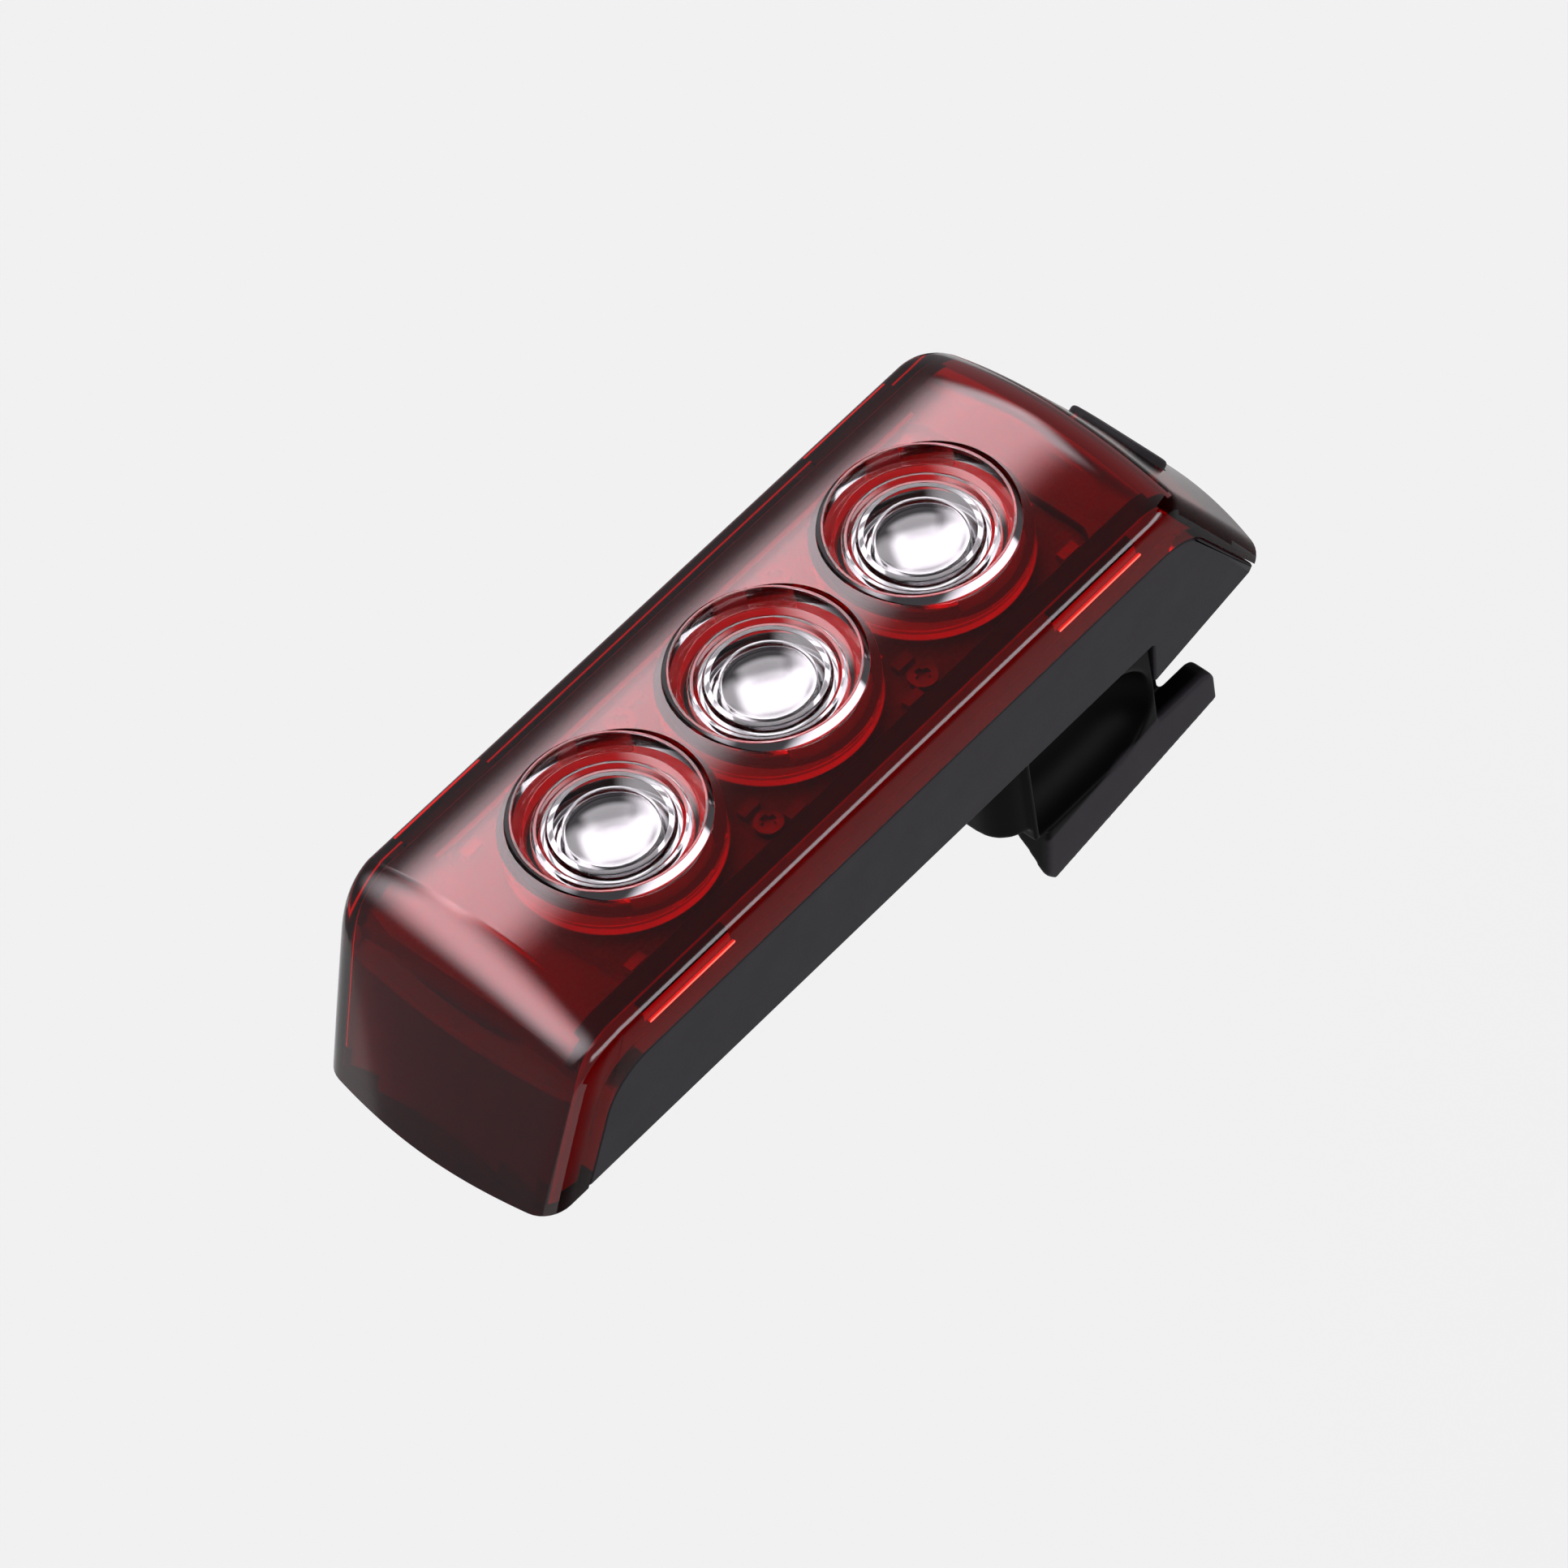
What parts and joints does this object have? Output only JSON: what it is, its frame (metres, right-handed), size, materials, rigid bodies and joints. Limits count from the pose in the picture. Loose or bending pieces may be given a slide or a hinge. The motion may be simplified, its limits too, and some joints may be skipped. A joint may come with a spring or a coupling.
{
  "type": "bicycle rear light",
  "caption": "Slim rear light: round clear lenses in a red see-through cover, black housing, end button, charging port with hinged cover, and a strap foot for a seat post.",
  "frame": {"origin": "on the axis of the seat post, at the far end of the round seat under the foot", "axes": "+X along the lens row towards the button, +Z out of the lenses, +Y across the light"},
  "size_m": [0.0782, 0.0242, 0.032],
  "materials": {
    "cover_red": "see-through red plastic, polished",
    "housing_black": "fine matte black plastic",
    "foot_black": "satin black plastic",
    "lens_clear": "clear moulded plastic",
    "rubber_black": "soft black rubber",
    "gasket_grey": "soft seal",
    "seal_red": "soft red silicone",
    "frame_dark": "black inner frame",
    "board": "dark circuit board",
    "emitter": "light emitter",
    "chip": "small electronic parts",
    "screw_steel": "plated steel",
    "guide_red": "bright red light guide",
    "cell_foil": "foil pouch",
    "foam": "closed cell foam",
    "wire_red": "insulated wire",
    "connector": "white connector",
    "socket_steel": "stainless shell",
    "ribbon": "flat cable",
    "switch_grey": "switch body"
  },
  "bodies": {
    "light_body": {"lens_cover": "cover_red", "rear_housing": "housing_black", "mount_foot": "foot_black", "foot_screws": "screw_steel", "case_screws": "screw_steel", "lens_near": "lens_clear", "lens_middle": "lens_clear", "lens_far": "lens_clear", "lens_seals": "seal_red", "cover_gasket": "gasket_grey", "inner_frame": "frame_dark", "main_board": "board", "main_leds": "emitter", "side_leds": "emitter", "status_led": "emitter", "driver_parts": "chip", "top_parts": "chip", "board_screws": "screw_steel", "side_guides": "guide_red", "battery_cell": "cell_foil", "battery_pad": "foam", "battery_leads": "wire_red", "battery_plug": "connector", "usb_socket": "socket_steel", "usb_tongue": "chip", "tact_switch": "switch_grey", "switch_board": "board", "switch_ribbon": "ribbon"},
    "button": {"power_button": "rubber_black", "switch_plunger": "switch_grey"},
    "port_flap": {"port_cover": "rubber_black"}
  },
  "joints": [
    {"name": "button_press", "type": "slide", "parent": "light_body", "child": "button", "axis": [-0.8572, 0, -0.515], "range_m": [0, 0.0005], "stiffness_N_per_m": 4000},
    {"name": "port_hinge", "type": "hinge", "parent": "light_body", "child": "port_flap", "pos_m": [-0.0568, 0, 0.0203], "axis": [0, 1, 0], "range_deg": [0, 95]}
  ]
}
